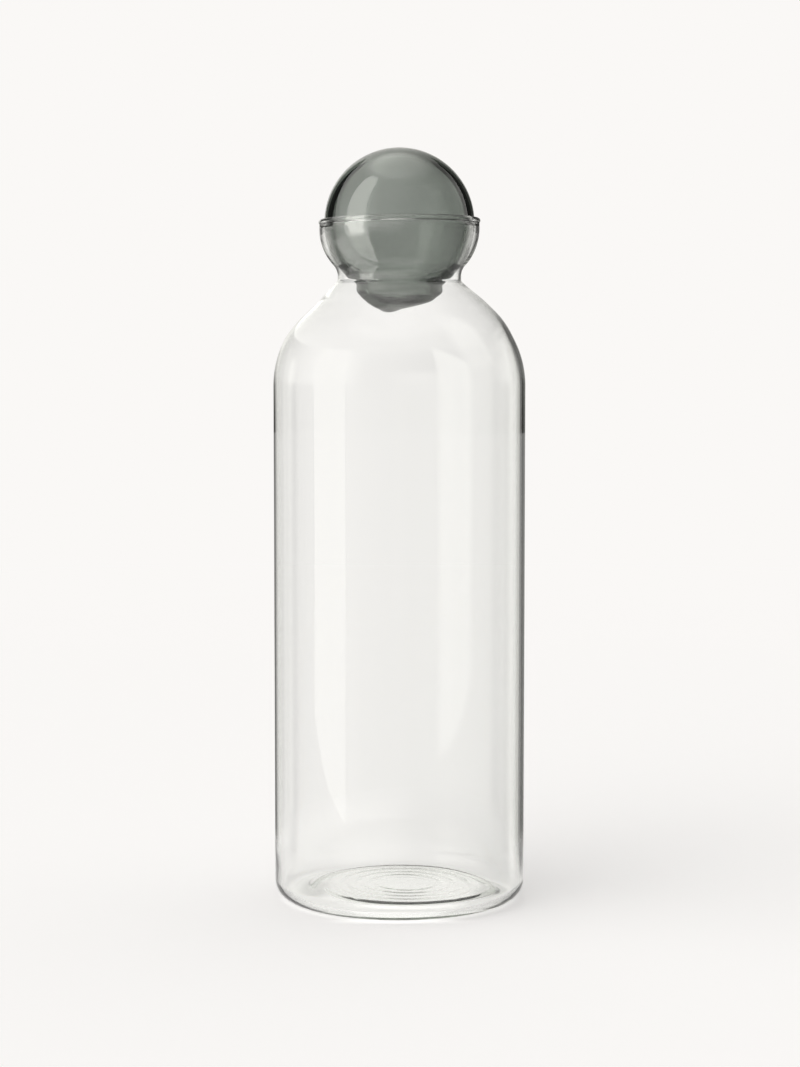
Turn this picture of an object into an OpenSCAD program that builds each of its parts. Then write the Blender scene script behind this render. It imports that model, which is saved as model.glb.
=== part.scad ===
// Water carafe: a straight-sided blown glass bottle with a round shoulder and a pushed-up base.
// Its mouth is a shallow cup, fused to the neck, and a hollow smoked glass ball sits in the cup
// as the stopper. The origin is the middle of the foot, on the table, with +Z up.

/* [Bottle] */
// Outer diameter of the straight side
body_d = 90; // [84:1:100]
// Height of the straight side, from the table to the start of the shoulder
side_h = 184.9; // [150:0.1:220]
// Glass thickness of the side and the shoulder
body_wall = 1.8; // [1.4:0.1:2.4]
// Outside radius of the arc that turns the shoulder in to the neck
shoulder_r = 36; // [33:0.5:40]
// Outside radius where the side turns under to the foot
foot_round = 6.5; // [5:0.5:8]

/* [Base] */
// Glass thickness of the base
base_t = 2.2; // [1.6:0.1:3]
// Width of the flat ring that stands on the table
foot_w = 2.5; // [2:0.5:4]
// How far the middle of the base is pushed up
punt_h = 2.2; // [1.5:0.1:3]
// Radius of the tighter bends at the edge of the push-up
punt_round = 1.8; // [1.4:0.1:2.6]
// Number of concentric shaping rings on the inside of the base
ring_count = 4; // [0:1:5]
// Distance from one shaping ring to the next
ring_pitch = 5; // [4.2:0.1:5.5]
// Width of one shaping ring
ring_w = 4; // [3:0.1:4.2]
// Depth of the shaping rings
ring_depth = 0.25; // [0.1:0.05:0.4]

/* [Neck] */
// Slope of the straight flank that leads from the shoulder's arc up to the neck, in degrees
neck_slope = 43.5; // [38:0.5:48]
// Diameter of the opening through the neck
bore_d = 41.2; // [40:0.2:42]
// Glass thickness of the neck
neck_wall = 1.4; // [1.2:0.1:1.6]
// Outside radius of the hollow where that flank meets the neck
waist_round = 1.2; // [0.8:0.1:2]
// Height of the seat above the middle of that hollow
seat_rise = 2.05; // [1.8:0.05:3]
// Radius of the bead where the cup is fused to the neck
seam_round = 1; // [0.8:0.1:1.3]
// How far that bead stands out from the neck
seam_proud = 0.4; // [0.3:0.05:0.6]
// Height of the middle of the bead above the middle of the hollow
seam_rise = 2.3; // [2:0.1:2.6]

/* [Cup] */
// Glass thickness of the cup below its rim
cup_wall = 1.2; // [1:0.1:1.6]
// Gap between the ball and the cup at the rim
rim_gap = 0.5; // [0.4:0.05:0.8]
// Gap between the ball and its seat
seat_gap = 0.3; // [0.2:0.05:0.45]
// Radius that rounds the edge of the seat
seat_round = 0.6; // [0.3:0.1:1]
// Height of the rim bead above the middle of the ball
rim_rise = 0.55; // [0.4:0.05:3]
// Radius of the fire-polished bead on the rim
lip_round = 0.8; // [0.7:0.05:1]
// How far the bead stands out from the cup
lip_proud = 0.3; // [0.1:0.05:0.4]
// How far below the middle of the ball the cup starts to turn in
cup_drop = 2; // [0:0.1:3]

/* [Stopper] */
// Diameter of the ball
ball_d = 53.4; // [50:0.2:57]
// Glass thickness of the ball and the plug
ball_wall = 2.5; // [1.8:0.1:3.2]
// Diameter of the plug below the ball
plug_d = 30.7; // [26:0.1:34]
// Length of the plug, from the edge of the ball to the tail
plug_h = 2.1; // [1.5:0.1:6]
// Radius of the hollow where the ball meets the plug
plug_round = 0.8; // [0.5:0.1:1.5]
// Length of the tail that closes the plug
tail_h = 8; // [6:0.1:12]
// Radius of the swell along the side of the tail
tail_swell_r = 50; // [30:1:80]
// How far the tip of the tail leans to one side
tail_lean = 3; // [0:0.1:5]
// Outside radius of the tip
tip_round = 2.5; // [1.5:0.1:3.2]
// Glass thickness at the tip
tip_t = 2.6; // [2:0.1:4]

/* [Hidden] */
$fn = 120;

// How far a cut runs past the face it opens
overrun = 1;
// Direction, from the middle of the seam bead, of the crease where the cup rises from it
crease_angle = 40;

body_r = body_d / 2;
inner_r = body_r - body_wall;
inner_round = foot_round - body_wall;
shoulder_mid = [body_r - shoulder_r, side_h];

// Outer edge of the push-up, and the level of the base's inside in its middle
punt_r = body_r - foot_round - foot_w;
floor_z = base_t + punt_h;
wide_bend = punt_round + base_t;

bore_r = bore_d / 2;
neck_r = bore_r + neck_wall;
waist_mid = flank_touch(neck_r, shoulder_r, waist_round);
seat_z = waist_mid.y + seat_rise;

ball_r = ball_d / 2;
ball_z = seat_z + leg(ball_r + seat_gap, bore_r);
hollow_r = ball_r + rim_gap;
hollow_z = seat_z + leg(hollow_r, bore_r);
rim_r = hollow_r + cup_wall;
lip_r = max(rim_r + lip_proud, ball_r + seat_gap + 2 * lip_round);
lip_mid = [lip_r - lip_round, max(ball_z + rim_rise, hollow_z)];

// The cup's outside is an arc that leaves the seam bead at the crease and ends upright
seam_mid = [neck_r + seam_proud - seam_round, waist_mid.y + seam_rise];
crease = seam_mid + seam_round * [cos(crease_angle), sin(crease_angle)];
cup_z = ball_z - cup_drop;
cup_mid = [(pow(rim_r, 2) - pow(crease.x, 2) - pow(cup_z - crease.y, 2)) / (2 * (rim_r - crease.x)), cup_z];
cup_r = rim_r - cup_mid.x;

plug_r = plug_d / 2;
plug_z = ball_z - leg(ball_r, plug_r) - plug_h;

// The other short side of a right-angled triangle
function leg(long, short) = sqrt(pow(long, 2) - pow(short, 2));

// Middle of the circle of radius f that touches the upright line x and, from outside and below
// c, the circle of radius r about c
function touch(x, c, r, f) = [x + f, c.y - leg(r + f, x + f - c.x)];

// Point where the flank leaves the shoulder's arc of radius r
function flank_start(r) = shoulder_mid + r * [sin(neck_slope), cos(neck_slope)];

// Level at which that flank reaches the upright line x
function flank_top(x, r) = flank_start(r).y + (flank_start(r).x - x) * tan(neck_slope);

// Middle of the circle of radius f that touches the upright line x and the flank from above
function flank_touch(x, r, f) = [x + f, flank_top(x + f, r) + f / cos(neck_slope)];

// The point left of the line from p to q that is rp from p and rq from q
function meet(p, rp, q, rq) =
    let (
        gap = norm(q - p),
        along = (pow(rp, 2) - pow(rq, 2) + pow(gap, 2)) / (2 * gap),
        step = (q - p) / gap
    )
    p + along * step + leg(rp, along) * [step.y, -step.x];

// Rounds the inner corner between the upright line x and the underside of the circle of radius
// r about c, and overlaps what lies left of the line by f
module corner_fill(x, c, r, f) {
    mid = touch(x, c, r, f);
    end = c + (mid - c) * r / (r + f);
    difference() {
        translate([x - f, mid.y]) square([end.x - x + f, end.y - mid.y]);
        translate(mid) circle(f);
    }
}

// Straight flank from the shoulder's arc of radius r up to the upright line x, with the corner
// between the two rounded by f
module flank(x, r, f) {
    top = flank_top(x, r);
    mid = flank_touch(x, r, f);
    end = mid - f * [sin(neck_slope), cos(neck_slope)];
    polygon([[0, side_h], flank_start(r), [x, top], [0, top]]);
    difference() {
        polygon([[x - f, end.y], end, mid, [x, mid.y], [x - f, mid.y]]);
        translate(mid) circle(f);
    }
}

// Half of a disc, on the side of the axis where a profile is drawn
module half_disc(r) {
    intersection() {
        circle(r);
        translate([0, -r]) square([r, 2 * r]);
    }
}

// The part of a disc right of the axis and between two levels. Profiles are joined where they
// overlap, and never edge to edge.
module disc_band(mid, r, low, high) {
    intersection() {
        translate(mid) circle(r);
        translate([0, low]) square([mid.x + r, high - low]);
    }
}

// Profile of the push-up, from low to its top: two arcs meet in a smooth step at its edge.
// foot_bend is the radius next to the foot, and top_bend the radius at the top.
module push_up(level, low, foot_bend, top_bend) {
    bends = foot_bend + top_bend;
    outer = [punt_r, level + foot_bend];
    inner = [punt_r - leg(bends, bends - punt_h), level + punt_h - top_bend];
    join = inner + (outer - inner) * top_bend / bends;
    difference() {
        union() {
            translate([0, low]) square([inner.x, level + punt_h - low]);
            translate(inner) circle(top_bend);
            polygon([[0, low], [punt_r, low], [punt_r, join.y], join, inner]);
        }
        translate(outer) circle(foot_bend);
    }
}

// Profile of the shallow concentric rings in the raised floor
module shaping_rings() {
    ring_r = (pow(ring_w / 2, 2) + pow(ring_depth, 2)) / (2 * ring_depth);
    bends = punt_round + wide_bend;
    edge = punt_r - leg(bends, bends - punt_h);
    for (i = [0 : 1 : ring_count - 1])
        translate([edge - (i + 0.5) * ring_pitch, floor_z + ring_r - ring_depth]) circle(ring_r);
}

// Profile of the bottle's outside, up to the rim bead
module bottle_outside() {
    translate([body_r - foot_round, foot_round]) circle(foot_round);
    square([body_r - foot_round, side_h]);
    translate([0, foot_round]) square([body_r, side_h - foot_round]);
    disc_band(shoulder_mid, shoulder_r, side_h - shoulder_r, side_h + shoulder_r);
    flank(neck_r, shoulder_r, waist_round);
    translate([0, side_h]) square([neck_r, cup_z - side_h]);
    translate(seam_mid) circle(seam_round);
    disc_band(cup_mid, cup_r, seat_z, lip_mid.y);
    translate([0, cup_z]) square([rim_r, lip_mid.y - cup_z]);
}

// Profile of the space inside, with the raised floor left out of it
module bottle_inside() {
    difference() {
        union() {
            translate([inner_r - inner_round, base_t + inner_round]) circle(inner_round);
            translate([0, base_t]) square([inner_r - inner_round, side_h - base_t]);
            translate([0, base_t + inner_round]) square([inner_r, side_h - base_t - inner_round]);
        }
        difference() {
            push_up(base_t, base_t / 2, punt_round, wide_bend);
            shaping_rings();
        }
    }
    disc_band(shoulder_mid, shoulder_r - body_wall, side_h - shoulder_r, side_h + shoulder_r);
    flank(bore_r, shoulder_r - body_wall, waist_round + neck_wall);
    translate([0, side_h]) square([bore_r, hollow_z - side_h]);
    corner_fill(bore_r, [0, hollow_z], hollow_r, seat_round);
    translate([0, hollow_z]) half_disc(hollow_r);
    translate([0, hollow_z]) square([hollow_r, lip_mid.y + overrun - hollow_z]);
}

module glass_carafe() {
    color("whitesmoke", 0.35)
        rotate_extrude() {
            difference() {
                bottle_outside();
                bottle_inside();
                push_up(0, -overrun, wide_bend, punt_round);
            }
            translate(lip_mid) circle(lip_round);
        }
}

// Profile of the bulb: a ball of radius r with a straight plug, drawn on past the tail's tip
module bulb_profile(r, plug) {
    translate([0, ball_z]) half_disc(r);
    translate([0, plug_z - tail_h]) square([plug, ball_z - plug_z + tail_h]);
    corner_fill(plug, [0, ball_z], r, plug_round);
}

// Space above the tail, with the tip to one side: a round tip, then an arc of radius
// tail_swell_r that reaches the edge of the plug, and open above that. Its slope is the mean
// of the tail's two sides, and it is tilted by half of their difference.
module above_tail(plug, tail, lean) {
    steep = atan2(tail, plug - lean);
    gentle = atan2(tail, plug + lean);
    slope = (steep + gentle) / 2;
    edge = norm([plug, tail]) * [cos(slope), sin(slope)];
    tip = [0, tip_round];
    mid = meet(edge, tail_swell_r, tip, tail_swell_r - tip_round);
    join = mid + (tip - mid) * tail_swell_r / (tail_swell_r - tip_round);
    open_z = tail + plug_h;
    translate([-lean, 0, plug_z - tail])
        rotate([0, (steep - gentle) / 2, 0])
            rotate_extrude() {
                translate(tip) half_disc(tip_round);
                disc_band(mid, tail_swell_r, join.y, open_z + tail);
                translate([0, open_z]) square([ball_d, 2 * ball_d]);
            }
}

// Ball, plug and leaning tail as one solid: the stopper's outside, or its hollow
module bulb(r, plug, tail) {
    intersection() {
        rotate_extrude() bulb_profile(r, plug);
        above_tail(plug, tail, tail_lean * tail / tail_h);
    }
}

module ball_stopper() {
    color("darkslategray", 0.7)
        difference() {
            bulb(ball_r, plug_r, tail_h);
            bulb(ball_r - ball_wall, plug_r - ball_wall, tail_h - tip_t);
        }
}

glass_carafe();
ball_stopper();
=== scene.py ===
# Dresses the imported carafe: hand-blown glass meshes, a smoked ball, a pale table and studio light.
import bmesh
import bpy
import math
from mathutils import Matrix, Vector, noise


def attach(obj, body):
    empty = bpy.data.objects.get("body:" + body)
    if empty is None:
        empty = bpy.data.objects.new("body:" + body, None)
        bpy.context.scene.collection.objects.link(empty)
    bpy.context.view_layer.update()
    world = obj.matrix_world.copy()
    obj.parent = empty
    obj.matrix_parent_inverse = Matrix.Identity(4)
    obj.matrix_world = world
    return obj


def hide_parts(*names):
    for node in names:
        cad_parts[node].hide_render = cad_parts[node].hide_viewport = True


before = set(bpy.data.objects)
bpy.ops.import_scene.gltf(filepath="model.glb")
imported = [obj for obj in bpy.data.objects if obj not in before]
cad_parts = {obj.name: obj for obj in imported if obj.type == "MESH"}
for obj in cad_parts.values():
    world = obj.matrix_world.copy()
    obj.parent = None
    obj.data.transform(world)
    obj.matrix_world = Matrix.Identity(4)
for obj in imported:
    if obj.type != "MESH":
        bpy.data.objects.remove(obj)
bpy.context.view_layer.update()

mm = 0.001


# Shared helpers

def toLinear(hexColor):
    # sRGB hex to the linear colour that a shader takes
    linear = []
    for start in (1, 3, 5):
        c = int(hexColor[start:start + 2], 16) / 255
        linear.append(c / 12.92 if c <= 0.04045 else ((c + 0.055) / 1.055) ** 2.4)
    return (*linear, 1.0)


def addNode(tree, kind, sockets=None, **settings):
    # Adds a node and sets its properties; each socket named takes a value or a link from another node
    node = tree.nodes.new(kind)
    for name, value in settings.items():
        setattr(node, name, value)
    for name, value in (sockets or {}).items():
        if isinstance(value, bpy.types.NodeSocket):
            tree.links.new(value, node.inputs[name])
        else:
            node.inputs[name].default_value = value
    return node


def newMaterial(name):
    material = bpy.data.materials.new(name)
    material.use_nodes = True
    material.node_tree.nodes.clear()
    return material, material.node_tree


def addObject(name, bm, material):
    mesh = bpy.data.meshes.new(name)
    bm.to_mesh(mesh)
    bm.free()
    mesh.materials.append(material)
    made = bpy.data.objects.new(name, mesh)
    bpy.context.scene.collection.objects.link(made)
    return made


def arc(x, z, r, start, end, step):
    # Points of an arc about (x, z), angles in degrees, about step mm apart
    count = max(3, int(abs(math.radians(end - start)) * r / step))
    turns = [math.radians(start + (end - start) * i / count) for i in range(count + 1)]
    return [(x + r * math.cos(t), z + r * math.sin(t)) for t in turns]


def line(a, b, step):
    count = max(1, round(math.dist(a, b) / step))
    return [(a[0] + (b[0] - a[0]) * i / count, a[1] + (b[1] - a[1]) * i / count) for i in range(count + 1)]


def flow(points, per):
    # A smooth curve through given points, with per steps from each to the next
    ends = [points[0], *points, points[-1]]
    out = []
    for a, b, c, d in zip(ends, ends[1:], ends[2:], ends[3:]):
        for i in range(per):
            t = i / per
            out.append(tuple(
                0.5 * (2 * q + (r - p) * t + (2 * p - 5 * q + 4 * r - s) * t * t
                       + (3 * q - p - 3 * r + s) * t ** 3)
                for p, q, r, s in zip(a, b, c, d)))
    return out + [points[-1]]


def leg(longSide, shortSide):
    # The third side of a right triangle
    return math.sqrt(longSide ** 2 - shortSide ** 2)


def smooth(low, high, value):
    # Runs softly from 0 at low to 1 at high
    t = min(1.0, max(0.0, (value - low) / (high - low)))
    return t * t * (3 - 2 * t)


def tidy(points, least=0.02):
    # Drops points that fall on the one before
    out = [points[0]]
    for p in points[1:]:
        if math.dist(p, out[-1]) > least:
            out.append(p)
    return out


def spin(bm, rings, segments, shape, flip=False):
    # Skins rings (radius, z, centre x) round the axis; a ring of no radius closes to a point
    turns = [2 * math.pi * i / segments for i in range(segments)]
    made = []
    for radius, z, middle in rings:
        if radius < 1e-6:
            made.append([bm.verts.new(shape(middle, 0.0, z))])
        else:
            made.append([bm.verts.new(shape(middle + radius * math.sin(a), -radius * math.cos(a), z))
                         for a in turns])
    for low, high in zip(made, made[1:]):
        for i in range(segments):
            j = (i + 1) % segments
            corners = [low[i % len(low)], low[j % len(low)], high[j % len(high)], high[i % len(high)]]
            unique = list(dict.fromkeys(corners))
            bm.faces.new(unique if flip else reversed(unique))


def finishPiece(name, bm, material, body, node):
    piece = addObject(name, bm, material)
    piece.data.polygons.foreach_set("use_smooth", [True] * len(piece.data.polygons))
    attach(piece, body)
    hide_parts(node)
    print("made", name, len(piece.data.polygons), "faces")


# Materials

def blownGlass(name, look):
    # Glass coloured through and through, with the slow waves that blowing leaves in a fire-polished face
    material, tree = newMaterial(name)
    where = addNode(tree, "ShaderNodeTexCoord")
    stretched = addNode(tree, "ShaderNodeMapping", {
        "Vector": where.outputs["Object"], "Scale": (1, 1, look["waveStretch"])})
    waves = addNode(tree, "ShaderNodeTexNoise", {
        "Vector": stretched.outputs["Vector"], "Scale": 1 / (look["waveMm"] * mm),
        "Detail": look["waveDetail"]})
    bump = addNode(tree, "ShaderNodeBump", {
        "Height": waves.outputs["Fac"], "Strength": look["waveStrength"],
        "Distance": look["waveDepthMm"] * mm})
    face = addNode(tree, "ShaderNodeBsdfPrincipled", {
        "Normal": bump.outputs["Normal"], "Base Color": (1, 1, 1, 1), "Roughness": 0.0, "IOR": look["ior"],
        "Transmission Weight": 1.0})
    body = addNode(tree, "ShaderNodeVolumeAbsorption", {
        "Color": toLinear(look["tint"]), "Density": look["density"]})
    addNode(tree, "ShaderNodeOutputMaterial", {
        "Surface": face.outputs["BSDF"], "Volume": body.outputs["Volume"]})
    return material


clearLook = {
    "ior": 1.473,           # borosilicate
    "tint": "#f2f4f1",
    "density": 115.0,       # per metre
    "waveMm": 16.0,         # length of the waves round the glass
    "waveStretch": 0.35,    # below 1 they run longer up its height
    "waveDetail": 1.0,
    "waveDepthMm": 0.012,
    "waveStrength": 0.25,
}


def blownBorosilicate():
    # Clear blown borosilicate, fire-polished: crisp edges, with faint waves in the reflections
    return blownGlass("blown borosilicate, fire-polished", clearLook)


smokeLook = {
    "ior": 1.473,
    "tint": "#5f7561",
    "density": 262.0,
    "waveMm": 11.0,
    "waveStretch": 1.0,
    "waveDetail": 1.5,
    "waveDepthMm": 0.02,
    "waveStrength": 0.3,
}


def smokedGlass():
    # Smoked grey-green glass, blown: thick edges go nearly black, and thin walls stay pale
    return blownGlass("smoked blown glass", smokeLook)


# Bottle, in mm and degrees

bottle = {
    "bodyR": 45.0, "wall": 1.8, "sideH": 184.5, "shoulderR": 36.0, "footRound": 6.5,
    "baseT": 2.2, "footW": 2.5, "puntH": 2.2, "puntRound": 4.0,
    "ringCount": 4, "ringPitch": 5.0, "ringW": 4.0, "ringDepth": 0.08,
    "neckSlope": 43.5, "neckR": 22.0, "neckWall": 1.0, "waistRound": 1.2,
    "ballR": 26.7, "ballZ": 242.21, "seatGap": 0.15, "seatRound": 6.4, "hollowR": 27.2, "hollowEnd": -1.2,
    "rimR": 28.5, "rimRise": 0.55, "lipRound": 0.95, "lipProud": 0.3, "lipTuck": 4.0, "lipEnd": -48.0,
    "cupDrop": 2.0, "cupRound": 19.0, "throatRound": 5.5,
    # Unevenness of hand-blown glass. A pair is the height over which it sets in or dies away
    "boreShift": 0.5, "shiftIn": (5, 20), "shiftOut": (196, 212),   # the wall is thinner on the left
    "shoulderLean": 0.88, "leanIn": (200, 213), "leanOut": (214.5, 220.5),  # fuller on the right
    "rimTilt": 0.012, "tiltIn": (228, 243),     # the rim dips to the left
    "puntShift": 2.2, "puntOut": (7, 12),       # the push-up sits off centre
    "puntEdge": (30, 40),                       # radii over which that dies away
    "wobble": 0.08, "wobbleIn": (8, 30), "wobbleOut": (205, 220),   # slow waves of the side
    "wobbleR": 20, "wobblePerMm": 0.03, "wobbleStretch": 0.4,       # beyond this radius
    "depthShare": 0.999,                        # a trace flatter from front to back
    # Distance between the mesh's rings, finer where the glass bends light most, and points in each ring
    "steps": {
        "floor": 0.4, "puntEdge": 0.3, "ledge": 0.5, "corner": 0.4, "side": 3.0, "shoulder": 0.75,
        "flank": 0.6, "waist": 0.1, "bore": 0.4, "seat": 0.15, "hollow": 0.4, "lip": 0.1, "cup": 0.4,
        "throat": 0.2, "underside": 2.0,
    },
    "segments": 160,
}


def puntStep(b, level, footBend, topBend):
    # Radius of the push-up's flat top, and the smooth step from there out to the foot
    step = b["steps"]["puntEdge"]
    bends = footBend + topBend
    outer = (b["bodyR"] - b["footRound"] - b["footW"], level + footBend)
    inner = (outer[0] - leg(bends, bends - b["puntH"]), level + b["puntH"] - topBend)
    turn = math.degrees(math.atan2(outer[1] - inner[1], outer[0] - inner[0]))
    return inner[0], arc(*inner, topBend, 90, turn, step) + arc(*outer, footBend, turn + 180, 270, step)


def neckOutside(b):
    # Outside of the shoulder from the side up to the neck: an arc, a straight flank and a tight waist
    steps = b["steps"]
    midX = b["bodyR"] - b["shoulderR"]
    facing = 90 - b["neckSlope"]
    slope = math.radians(b["neckSlope"])
    across, up = math.sin(slope), math.cos(slope)
    startX, startZ = midX + b["shoulderR"] * across, b["sideH"] + b["shoulderR"] * up
    waistX = b["neckR"] + b["waistRound"]
    waistZ = startZ + (startX - waistX) * math.tan(slope) + b["waistRound"] / up
    waistStart = (waistX - b["waistRound"] * across, waistZ - b["waistRound"] * up)
    points = arc(midX, b["sideH"], b["shoulderR"], 0, facing, steps["shoulder"])
    points += line(points[-1], waistStart, steps["flank"])
    return points + arc(waistX, waistZ, b["waistRound"], facing + 180, 180, steps["waist"])


def inset(points, depth):
    # The same line moved to its left by depth(z)
    out = []
    for i, (r, z) in enumerate(points):
        before, after = points[max(i - 1, 0)], points[min(i + 1, len(points) - 1)]
        run, climb = after[0] - before[0], after[1] - before[1]
        span = math.hypot(run, climb)
        out.append((r - climb / span * depth(z), z + run / span * depth(z)))
    return out


def floorLine(b):
    # Top of the floor from its middle outwards, with the concentric rings that shaping leaves
    topR, edge = puntStep(b, b["baseT"], b["puntRound"], b["puntRound"] + b["baseT"])
    floorZ = b["baseT"] + b["puntH"]
    points = []
    for r, z in line((0, floorZ), (topR, floorZ), b["steps"]["floor"]):
        ring = (topR - r) / b["ringPitch"]
        if ring < b["ringCount"]:
            off = (ring % 1 - 0.5) * b["ringPitch"] / (b["ringW"] / 2)
            z -= b["ringDepth"] * max(0.0, 1 - off * off) ** 1.5
        points.append((r, z))
    return points + edge


def insideLine(b, neck):
    # From the middle of the floor up to the rim. The wall thins from the shoulder to the neck, and both its
    # faces run on side by side up to the seat
    steps = b["steps"]
    innerR = b["bodyR"] - b["wall"]
    innerRound = b["footRound"] - b["wall"]
    cornerX, cornerZ = innerR - innerRound, b["baseT"] + innerRound
    points = floorLine(b)
    points += line(points[-1], (cornerX, b["baseT"]), steps["ledge"])
    points += arc(cornerX, cornerZ, innerRound, -90, 0, steps["corner"])
    points += line((innerR, cornerZ), (innerR, b["sideH"]), steps["side"])
    neckZ = neck[-1][1]
    thinning = b["wall"] - b["neckWall"]
    points += inset(tidy(neck), lambda z: b["wall"] - thinning * smooth(b["sideH"], neckZ, z))
    boreR = b["neckR"] - b["neckWall"]
    seatX = boreR + b["seatRound"]
    seatZ = b["ballZ"] - leg(b["ballR"] + b["seatGap"] + b["seatRound"], seatX)
    hollowZ = seatZ + leg(b["hollowR"] + b["seatRound"], seatX)
    turn = math.degrees(math.atan2(seatZ - hollowZ, seatX))
    points += line((boreR, neckZ), (boreR, seatZ), steps["bore"])
    points += arc(seatX, seatZ, b["seatRound"], 180, turn + 180, steps["seat"])
    return points + arc(0, hollowZ, b["hollowR"], turn, b["hollowEnd"], steps["hollow"])


def outsideLine(b, neck):
    # Over the fire-polished lip and down to the middle of the foot. The cup's arc runs into that of the
    # throat, and that one into the neck
    steps = b["steps"]
    lipX, lipZ = b["rimR"] + b["lipProud"] - b["lipRound"], b["ballZ"] + b["rimRise"]
    bead = math.degrees(math.acos((b["hollowR"] - lipX) / b["lipRound"]))
    points = arc(lipX, lipZ, b["lipRound"], 360 - bead - b["lipTuck"], b["lipEnd"], steps["lip"])
    cupX, cupZ = b["rimR"] - b["cupRound"], b["ballZ"] - b["cupDrop"]
    throatX = b["neckR"] + b["throatRound"]
    throatZ = cupZ - leg(b["cupRound"] + b["throatRound"], throatX - cupX)
    low = math.degrees(math.atan2(throatZ - cupZ, throatX - cupX))
    points += arc(cupX, cupZ, b["cupRound"], 0, low, steps["cup"])
    points += arc(throatX, throatZ, b["throatRound"], low + 180, 180, steps["throat"]) + neck[::-1]
    points += line((b["bodyR"], b["sideH"]), (b["bodyR"], b["footRound"]), steps["side"])
    points += arc(b["bodyR"] - b["footRound"], b["footRound"], b["footRound"], 0, -90, steps["corner"])
    topR, edge = puntStep(b, 0, b["puntRound"] + b["baseT"], b["puntRound"])
    return points + edge[::-1] + line((topR, b["puntH"]), (0, b["puntH"]), steps["underside"])


def bottleRings():
    # Both faces of the wall as rings; those of the inside sit off centre
    b = bottle
    neck = neckOutside(b)
    inside = insideLine(b, neck)
    outside = outsideLine(b, neck)
    rings = []
    for r, z in tidy(inside):
        rings.append((r, z, -b["boreShift"] * smooth(*b["shiftIn"], z) * (1 - smooth(*b["shiftOut"], z))))
    return rings + [(r, z, 0.0) for r, z in tidy([inside[-1]] + outside)[1:]]


def blownShape(x, y, z):
    # The same unevenness on both faces of the wall
    b = bottle
    r = math.hypot(x, y)
    x += b["shoulderLean"] * smooth(*b["leanIn"], z) * (1 - smooth(*b["leanOut"], z))
    z += b["rimTilt"] * x * smooth(*b["tiltIn"], z)
    x += (1 - smooth(*b["puntOut"], z)) * (1 - smooth(*b["puntEdge"], r)) * b["puntShift"]
    if r > b["wobbleR"]:
        spot = Vector((x, y, z * b["wobbleStretch"])) * b["wobblePerMm"]
        swell = noise.noise(spot) * b["wobble"]
        swell *= smooth(*b["wobbleIn"], z) * (1 - smooth(*b["wobbleOut"], z))
        # Inwards alone, so that the glass stays inside the solid
        x += x / r * min(swell, 0.0)
        y += y / r * min(swell, 0.0)
    return Vector((x, y * b["depthShare"], z)) * mm


def makeBottle():
    bm = bmesh.new()
    spin(bm, bottleRings(), bottle["segments"], blownShape)
    finishPiece("glassCarafe", bm, blownBorosilicate(), "bottle", "glass_carafe")


# Stopper, in mm

stopper = {
    "ballR": 26.7, "ballZ": 242.21, "wall": 2.9, "plugR": 15.35, "plugRound": 0.9, "plugH": 2.1,
    "plugWall": 4.1, "voidRound": 3.0, "tailH": 8.0, "tipT": 4.1,
    "voidShift": 0.1,       # the hollow sits off centre, so the left wall is the thinner one
    "ballStep": 0.6, "filletStep": 0.15, "plugStep": 0.4, "tailSteps": 5, "segments": 224,
    # Left and right of the tail at heights above its tip
    "tail": [
        (8.0, -15.35, 15.35), (7.4, -15.2, 15.3), (6.6, -14.7, 15.0), (5.8, -13.9, 14.3),
        (4.6, -12.9, 12.8), (3.4, -11.7, 10.9), (2.4, -10.4, 7.9), (1.4, -8.8, 4.0),
        (0.7, -7.2, 0.8), (0.25, -5.8, -1.4), (0.05, -4.6, -2.6), (0.0, -3.6, -3.3),
    ],
}


def stopperRings(ballR, plugR, tailH, bend):
    # Rings from the top of the ball down over the plug to the tip of the leaning tail
    s = stopper
    plugZ = s["ballZ"] - leg(s["ballR"], s["plugR"]) - s["plugH"]
    filletX = plugR + bend
    filletZ = s["ballZ"] - leg(ballR + bend, filletX)
    turn = math.degrees(math.atan2(filletZ - s["ballZ"], filletX))
    points = arc(0, s["ballZ"], ballR, 90, turn, s["ballStep"])
    points += arc(filletX, filletZ, bend, turn + 180, 180, s["filletStep"])
    points += line((plugR, filletZ), (plugR, plugZ), s["plugStep"])
    rings = [(r, z, 0.0) for r, z in tidy(points)]
    wide, high = plugR / s["plugR"], tailH / s["tailH"]
    for h, left, right in flow(s["tail"], s["tailSteps"])[1:]:
        rings.append(((right - left) / 2 * wide, plugZ - tailH + h * high, (right + left) / 2 * wide))
    return rings + [(0.0, plugZ - tailH, rings[-1][2])]


def plainShape(x, y, z):
    return Vector((x, y, z)) * mm


def hollowShape(x, y, z):
    return plainShape(x - stopper["voidShift"], y, z)


def makeStopper():
    s = stopper
    bm = bmesh.new()
    outside = stopperRings(s["ballR"], s["plugR"], s["tailH"], s["plugRound"])
    hollow = stopperRings(s["ballR"] - s["wall"], s["plugR"] - s["plugWall"], s["tailH"] - s["tipT"],
                          s["voidRound"])
    spin(bm, outside, s["segments"], plainShape)
    spin(bm, hollow, s["segments"], hollowShape, flip=True)
    finishPiece("ballStopper", bm, smokedGlass(), "stopper", "ball_stopper")


# Studio

backdrop = "#faf8f6"
mirrorTone = "#fffef9"

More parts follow.
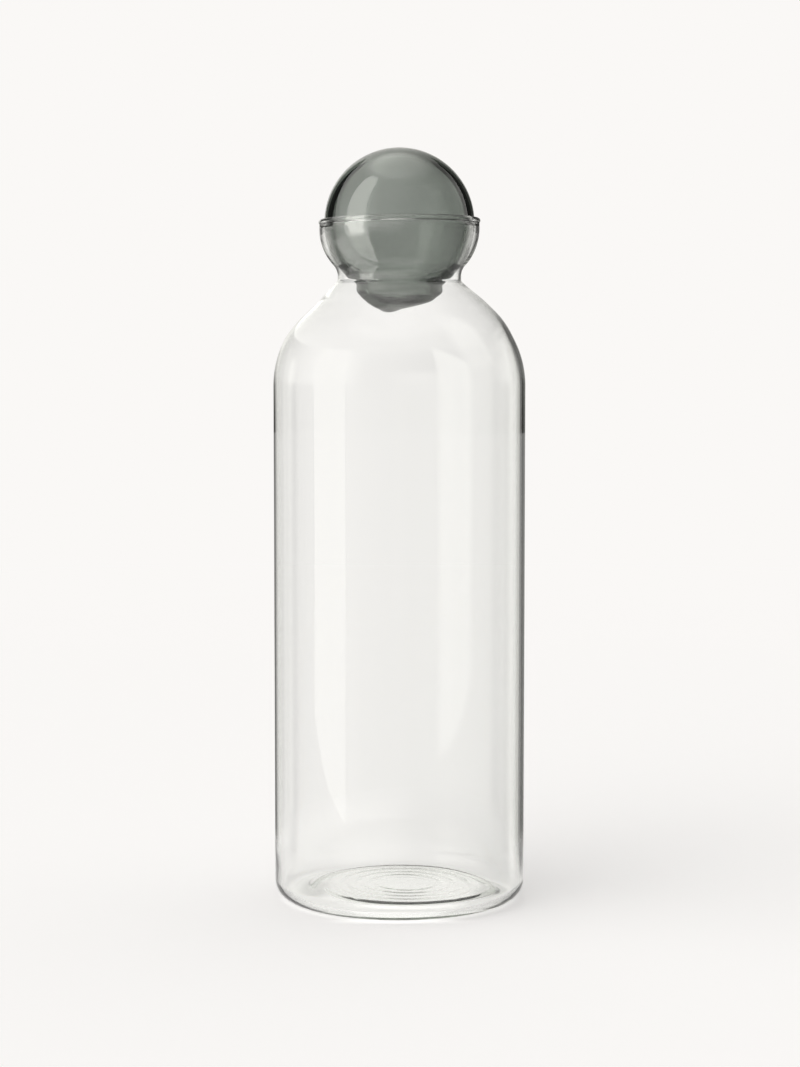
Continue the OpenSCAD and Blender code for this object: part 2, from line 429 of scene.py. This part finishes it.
# Directions: azimuth in degrees from +Y towards +X, and rise as degrees or as the sine of it
room = {
    "ambient": 0.105, "zenith": 0.165, "zenithRise": 0.9,
    # Soft lights: azimuth, rise, spread, strength
    "lights": [(-110, 32, 52, 1.10), (-146, 24, 44, 1.00), (40, 66, 50, 0.628)],
    # Walls that the glass mirrors all round, as azimuth and radiance: far below the horizon, just below it,
    # and above it
    "deep": [
        (-180, 0.1), (-112, 0.1), (-100, 1.5), (-70, 1.5), (-62, 0.05), (-12, 0.05), (-7, 0.6), (4, 0.6),
        (9, 0.03), (180, 0.1),
    ],
    "low": [
        (-180, 0.55), (-160, 1.0), (-140, 1.2), (-96, 1.05), (-76, 0.9), (-72, 0.5), (-68, 0.01), (-64, 0.08),
        (-58, 0.5), (-50, 0.8), (-32, 0.87), (-18, 0.03), (-12, 0.03), (-4, 0.39), (2, 0.1), (8, 0.25), (18, 0),
        (28, 0), (32, 0.65), (40, 0.62), (44, 0.82), (50, 1.5), (56, 0.62), (60, 0), (128, 0), (132, 0.19),
        (140, 0), (160, 0), (172, 0.25), (180, 0.55),
    ],
    "high": [
        (-180, 0.5), (-148, 0.9), (-134, 1.6), (-126, 2.0), (-104, 2.2), (-90, 1.6), (-76, 1.3), (-68, 1.1),
        (-54, 0.9), (-20, 0.9), (2, 0.9), (8, 0.6), (16, 0.25), (28, 0.12), (34, 0.5), (40, 0.8), (50, 1.0),
        (60, 0.8), (70, 0.38), (78, 0.25), (84, 0.05), (150, 0.08), (160, 0.25), (180, 0.5),
    ],
    # Overhead, graded between two values of the direction's X
    "ceiling": {"left": -0.5, "right": 0.55, "leftTone": 1.35, "rightTone": 0.35},
    # Rises over which each of these runs into the next
    "deepToLow": (-0.28, -0.2), "lowToHigh": (-0.03, 0.06), "highToCeiling": (0.42, 0.7),
}


def towards(azimuth, rise):
    # Unit vector; azimuth 0 is towards +Y, 90 is +X
    a, e = math.radians(azimuth), math.radians(rise)
    return Vector((math.sin(a) * math.cos(e), math.cos(a) * math.cos(e), math.sin(e)))


def sightOf(tree):
    # First: 1 for what is seen, straight or by way of glass. Second: 1 where glass mirrored it on the way
    ray = addNode(tree, "ShaderNodeLightPath")
    either = addNode(tree, "ShaderNodeMath", {
        0: ray.outputs["Is Camera Ray"], 1: ray.outputs["Is Glossy Ray"]}, operation="ADD", use_clamp=True)
    some = addNode(tree, "ShaderNodeMath", {
        0: either.outputs[0], 1: ray.outputs["Is Transmission Ray"]}, operation="ADD", use_clamp=True)
    seen = addNode(tree, "ShaderNodeMath", {
        0: some.outputs[0], 1: ray.outputs["Diffuse Depth"]}, operation="SUBTRACT", use_clamp=True)
    mirrored = addNode(tree, "ShaderNodeMath", {
        0: seen.outputs[0], 1: ray.outputs["Glossy Depth"]}, operation="MULTIPLY", use_clamp=True)
    return seen.outputs[0], mirrored.outputs[0]


def wallRound(tree, share, stops):
    # Radiance of a wall all the way round: share is the part of a full turn from azimuth -180
    most = max(radiance for azimuth, radiance in stops)
    ramp = addNode(tree, "ShaderNodeValToRGB", {"Fac": share})
    elements = ramp.color_ramp.elements
    for i, (azimuth, radiance) in enumerate(stops):
        place = (azimuth + 180) / 360
        stop = elements[i] if i < 2 else elements.new(place)
        stop.position = place
        stop.color = (*[radiance / most] * 3, 1)
    full = addNode(tree, "ShaderNodeMath", {0: ramp.outputs["Color"], 1: most}, operation="MULTIPLY")
    return full.outputs[0]


def stackWalls(tree, rise, over, lower, upper):
    # One wall above another, with a soft edge between the two rises in over
    edge = addNode(tree, "ShaderNodeMapRange", {"Value": rise, "From Min": over[0], "From Max": over[1]},
                   interpolation_type="SMOOTHSTEP")
    both = addNode(tree, "ShaderNodeMix", {"Factor": edge.outputs["Result"], "A": lower, "B": upper},
                   data_type="FLOAT")
    return both.outputs["Result"]


def makeWorld():
    # Even light from all round with soft lights in it. Seen straight or through glass there is the plain
    # backdrop; mirrored in glass there is a room with lit and dark walls.
    world = bpy.data.worlds.new("studio")
    bpy.context.scene.world = world
    world.use_nodes = True
    tree = world.node_tree
    tree.nodes.clear()
    seen, mirrored = sightOf(tree)
    where = addNode(tree, "ShaderNodeTexCoord").outputs["Generated"]
    axes = addNode(tree, "ShaderNodeSeparateXYZ", {"Vector": where})
    rise = axes.outputs["Z"]
    total = addNode(tree, "ShaderNodeMapRange", {
        "Value": rise, "From Min": 0.0, "From Max": room["zenithRise"],
        "To Min": room["ambient"], "To Max": room["zenith"]}).outputs["Result"]
    for azimuth, height, spread, strength in room["lights"]:
        facing = addNode(tree, "ShaderNodeVectorMath", {0: where, 1: towards(azimuth, height)},
                         operation="DOT_PRODUCT")
        light = addNode(tree, "ShaderNodeMapRange", {
            "Value": facing.outputs["Value"], "From Min": math.cos(math.radians(spread)), "From Max": 1.0,
            "To Min": 0.0, "To Max": strength}, interpolation_type="SMOOTHSTEP")
        total = addNode(tree, "ShaderNodeMath", {0: total, 1: light.outputs["Result"]},
                        operation="ADD").outputs[0]

    turn = addNode(tree, "ShaderNodeMath", {0: axes.outputs["X"], 1: axes.outputs["Y"]},
                   operation="ARCTAN2")
    share = addNode(tree, "ShaderNodeMapRange", {
        "Value": turn.outputs[0], "From Min": -math.pi, "From Max": math.pi}).outputs["Result"]
    deep, low, high = (wallRound(tree, share, room[wall]) for wall in ("deep", "low", "high"))
    across = room["ceiling"]
    ceiling = addNode(tree, "ShaderNodeMapRange", {
        "Value": axes.outputs["X"], "From Min": across["left"], "From Max": across["right"],
        "To Min": across["leftTone"], "To Max": across["rightTone"]}).outputs["Result"]
    walls = stackWalls(tree, rise, room["deepToLow"], deep, low)
    walls = stackWalls(tree, rise, room["lowToHigh"], walls, high)
    walls = stackWalls(tree, rise, room["highToCeiling"], walls, ceiling)
    back = addNode(tree, "ShaderNodeBackground", {"Color": toLinear(backdrop)})
    mirror = addNode(tree, "ShaderNodeBackground", {"Color": toLinear(mirrorTone), "Strength": walls})
    lamps = addNode(tree, "ShaderNodeBackground", {"Color": (1, 1, 1, 1), "Strength": total})
    sight = addNode(tree, "ShaderNodeMixShader", {0: mirrored, 1: back.outputs[0], 2: mirror.outputs[0]})
    mix = addNode(tree, "ShaderNodeMixShader", {0: seen, 1: lamps.outputs[0], 2: sight.outputs[0]})
    addNode(tree, "ShaderNodeOutputWorld", {"Surface": mix.outputs[0]})


table = {
    "radius": 6.0, "sides": 96, "dropMm": 0.1,
    "albedo": 0.8, "glow": 0.45,            # share of the backdrop's tone that it gives by itself
    "fadeFrom": 0.6, "fadeTo": 1.4,         # where it runs into the backdrop, in metres
    # Painted light on the table under the foot, which dies away between these radii in mm
    "underFrom": 39.0, "underTo": 45.0, "paintedUnderLight": 0.34,
    # Painted pools of light where the glass would gather light behind it and under its front edges, and painted
    # shadows beside the push-up, in mm: middle, half width and half length, strength
    "paintedLightAndShade": [
        ((3, 40), (43, 75), 0.1), ((3, -28), (27, 8), 0.25), ((0, -40), (30, 5), 0.2),
        ((-31, 1), (7, 17), -0.28), ((33, -1), (9, 18), -0.28),
    ],
    "patchCore": 0.4,
    # Where glass mirrors the top, it clears between these radii in metres
    "mirrorFrom": 0.06, "mirrorTo": 0.15, "mirrorMost": 0.85,
}


def tableGlowAndPaintedLight(tree, place, far):
    # Strength of the table's own even light, plus painted light under the foot, painted pools of light behind
    # and before the glass and painted shadows beside the push-up
    glow = addNode(tree, "ShaderNodeMapRange", {
        "Value": far, "From Min": table["underFrom"] * mm, "From Max": table["underTo"] * mm,
        "To Min": table["glow"] + table["paintedUnderLight"], "To Max": table["glow"]},
        interpolation_type="SMOOTHSTEP").outputs["Result"]
    for middle, half, strength in table["paintedLightAndShade"]:
        spot = addNode(tree, "ShaderNodeMapping", {
            "Vector": place, "Location": (middle[0] * mm, middle[1] * mm, 0),
            "Scale": (half[0] * mm, half[1] * mm, 1)}, vector_type="TEXTURE")
        off = addNode(tree, "ShaderNodeVectorMath", {0: spot.outputs["Vector"]}, operation="LENGTH")
        patch = addNode(tree, "ShaderNodeMapRange", {
            "Value": off.outputs["Value"], "From Min": table["patchCore"], "From Max": 1.0,
            "To Min": strength, "To Max": 0.0}, interpolation_type="SMOOTHSTEP")
        glow = addNode(tree, "ShaderNodeMath", {0: glow, 1: patch.outputs["Result"]},
                       operation="ADD").outputs[0]
    return glow


def matteTableTop():
    # Matt white lacquer: an even pale ground with a soft shadow, plus painted light under and round the foot
    # and painted shadows beside the push-up. Where glass mirrors it, it clears further off, so that the room
    # shows there as in a polished top
    material, tree = newMaterial("matt white table top")
    seen, mirrored = sightOf(tree)
    place = addNode(tree, "ShaderNodeTexCoord").outputs["Object"]
    far = addNode(tree, "ShaderNodeVectorMath", {0: place}, operation="LENGTH").outputs["Value"]
    tone = toLinear(backdrop)
    paint = (*[table["albedo"] * c / tone[1] for c in tone[:3]], 1)
    white = addNode(tree, "ShaderNodeBsdfDiffuse", {"Color": paint})
    # Painted light and painted shadows near the foot are part of this emission strength
    power = addNode(tree, "ShaderNodeMath", {0: tableGlowAndPaintedLight(tree, place, far), 1: seen}, operation="MULTIPLY")
    glow = addNode(tree, "ShaderNodeEmission", {"Color": tone, "Strength": power.outputs[0]})
    near = addNode(tree, "ShaderNodeAddShader", {0: white.outputs[0], 1: glow.outputs[0]})
    away = addNode(tree, "ShaderNodeEmission", {"Color": tone})
    fade = addNode(tree, "ShaderNodeMapRange", {
        "Value": far, "From Min": table["fadeFrom"], "From Max": table["fadeTo"]},
        interpolation_type="SMOOTHSTEP")
    mix = addNode(tree, "ShaderNodeMixShader", {
        0: fade.outputs["Result"], 1: near.outputs[0], 2: away.outputs[0]})
    polish = addNode(tree, "ShaderNodeMapRange", {
        "Value": far, "From Min": table["mirrorFrom"], "From Max": table["mirrorTo"],
        "To Max": table["mirrorMost"]}, interpolation_type="SMOOTHSTEP")
    through = addNode(tree, "ShaderNodeMath", {0: polish.outputs["Result"], 1: mirrored},
                      operation="MULTIPLY")
    clear = addNode(tree, "ShaderNodeBsdfTransparent")
    top = addNode(tree, "ShaderNodeMixShader", {
        0: through.outputs[0], 1: mix.outputs[0], 2: clear.outputs[0]})
    addNode(tree, "ShaderNodeOutputMaterial", {"Surface": top.outputs[0]})
    return material


def makeTable():
    bm = bmesh.new()
    bmesh.ops.create_circle(bm, cap_ends=True, segments=table["sides"], radius=table["radius"])
    top = addObject("tableTop", bm, matteTableTop())
    top.location.z = -table["dropMm"] * mm


# Cards that only glass mirrors, in mm. Rows of a curved one: height, and azimuths of its two ends
softbox = {"ends": ((-135.4, 210), (-100, 500)), "height": 420, "strength": 2.0}
ballCards = {
    "radius": 75.0, "columns": 12,
    "window": {
        "strength": 4.8,
        "rows": [(222, -136, -114), (250, -136, -106), (330, -135, -104), (370, -128, -110)],
    },
    "flagLeft": {
        "strength": 0.03,
        "rows": [(238, -82, -42), (262, -80, -42), (290, -66, -38), (322, -46, -30)],
    },
    "flagRight": {
        "strength": 0.03,
        "rows": [(238, 38, 68), (262, 38, 68), (290, 34, 60), (322, 28, 46)],
    },
}
# A ring under these cards, so that the shoulder sees an even ceiling in their place
shelf = {
    "height": 222.0, "inner": 23.0, "outer": 75.0, "sides": 96,
    "half": 75.0, "left": 1.6, "right": 0.25, "lowerFace": True,
}
screen = {"away": 60.0, "from": 238.0, "to": 264.0, "half": 75.0, "left": 0.9, "right": 0.1}
hood = {
    "height": 360.0, "radius": 88.0, "sides": 64,
    "half": 50.0, "left": 3.1, "right": 1.3, "fadeFrom": 45.0,
}


def lightCloth(name, look):
    # Lit diffusion cloth: an even reflection in the glass, and clear to all but what glass mirrors. It may be
    # graded from left to right over half its width each way, be lit on its lower face alone, or fade out
    # towards its edge
    material, tree = newMaterial(name + " cloth")
    shown = sightOf(tree)[1]
    lit = addNode(tree, "ShaderNodeEmission", {"Color": toLinear(mirrorTone)})
    place = addNode(tree, "ShaderNodeTexCoord").outputs["Object"]
    if "half" in look:
        axes = addNode(tree, "ShaderNodeSeparateXYZ", {"Vector": place})
        grade = addNode(tree, "ShaderNodeMapRange", {
            "Value": axes.outputs["X"], "From Min": -look["half"] * mm, "From Max": look["half"] * mm,
            "To Min": look["left"], "To Max": look["right"]})
        tree.links.new(grade.outputs["Result"], lit.inputs["Strength"])
    else:
        lit.inputs["Strength"].default_value = look["strength"]
    if "lowerFace" in look:
        side = addNode(tree, "ShaderNodeNewGeometry").outputs["Backfacing"]
        shown = addNode(tree, "ShaderNodeMath", {0: shown, 1: side}, operation="MULTIPLY").outputs[0]
    if "fadeFrom" in look:
        flat = addNode(tree, "ShaderNodeVectorMath", {0: place, 1: (1, 1, 0)}, operation="MULTIPLY")
        off = addNode(tree, "ShaderNodeVectorMath", {0: flat.outputs["Vector"]}, operation="LENGTH")
        fade = addNode(tree, "ShaderNodeMapRange", {
            "Value": off.outputs["Value"], "From Min": look["fadeFrom"] * mm, "From Max": look["radius"] * mm,
            "To Min": 1.0, "To Max": 0.0}, interpolation_type="SMOOTHSTEP")
        shown = addNode(tree, "ShaderNodeMath", {0: shown, 1: fade.outputs["Result"]},
                        operation="MULTIPLY").outputs[0]
    clear = addNode(tree, "ShaderNodeBsdfTransparent")
    mix = addNode(tree, "ShaderNodeMixShader", {0: shown, 1: clear.outputs[0], 2: lit.outputs[0]})
    addNode(tree, "ShaderNodeOutputMaterial", {"Surface": mix.outputs[0]})
    return material


def placeCard(name, bm, look):
    card = addObject(name, bm, lightCloth(name, look))
    card.visible_camera = card.visible_diffuse = card.visible_shadow = False


def flatCard(name, corners, look):
    bm = bmesh.new()
    bm.faces.new([bm.verts.new(Vector(corner) * mm) for corner in corners])
    placeCard(name, bm, look)


def curvedCard(name):
    # Part of a wide tube round the ball
    columns = ballCards["columns"]
    bm = bmesh.new()
    made = []
    for level, start, end in ballCards[name]["rows"]:
        turns = [start + (end - start) * i / columns for i in range(columns + 1)]
        feet = [towards(turn, 0) * ballCards["radius"] for turn in turns]
        made.append([bm.verts.new((foot + Vector((0, 0, level))) * mm) for foot in feet])
    for low, high in zip(made, made[1:]):
        for i in range(columns):
            bm.faces.new((low[i], low[i + 1], high[i + 1], high[i]))
    placeCard(name, bm, ballCards[name])


def makeCards():
    # An upright softbox at the left front; round the ball a brighter window, two dark flags, a grey screen
    # and a hood, with a ring below them
    near, distant = [towards(azimuth, 0) * away for azimuth, away in softbox["ends"]]
    rise = Vector((0, 0, softbox["height"]))
    flatCard("softbox", (near, distant, distant + rise, near + rise), softbox)
    for name in ("window", "flagLeft", "flagRight"):
        curvedCard(name)

    bm = bmesh.new()
    edges = [(shelf[edge], shelf["height"], 0.0) for edge in ("inner", "outer")]
    spin(bm, edges, shelf["sides"], plainShape)
    placeCard("shelf", bm, shelf)

    flatCard("screen", [(side * screen["half"], screen["away"], screen[level])
                        for side, level in ((-1, "from"), (1, "from"), (1, "to"), (-1, "to"))], screen)

    bm = bmesh.new()
    bmesh.ops.create_circle(bm, cap_ends=True, segments=hood["sides"], radius=hood["radius"] * mm)
    bmesh.ops.translate(bm, vec=(0, 0, hood["height"] * mm), verts=bm.verts)
    placeCard("hood", bm, hood)


# Camera, fitted to the outline: places in mm, pitch in degrees, and focal length and frame height in pixels
view = {"away": 815.1, "height": 190.7, "side": 0.21, "pitch": 4.15, "focal": 2274.2, "frameHigh": 1067,
        "sensorMm": 36, "clipStart": 0.01}


def makeCamera():
    data = bpy.data.cameras.new("camera")
    data.sensor_width = view["sensorMm"]
    data.lens = view["focal"] / view["frameHigh"] * view["sensorMm"]
    data.clip_start = view["clipStart"]
    camera = bpy.data.objects.new("camera", data)
    camera.location = (view["side"] * mm, -view["away"] * mm, view["height"] * mm)
    camera.rotation_euler = (math.radians(90 - view["pitch"]), 0, 0)
    bpy.context.scene.collection.objects.link(camera)
    bpy.context.scene.camera = camera


scene = bpy.context.scene
scene.view_settings.view_transform = "Standard"
# Glass within glass needs many bends before a ray gets out
scene.cycles.max_bounces = 32
scene.cycles.transmission_bounces = 32
scene.cycles.glossy_bounces = 16

makeCamera()
print("camera set")
makeBottle()
makeStopper()
print("glass made")
makeWorld()
makeTable()
makeCards()
print("studio lit")
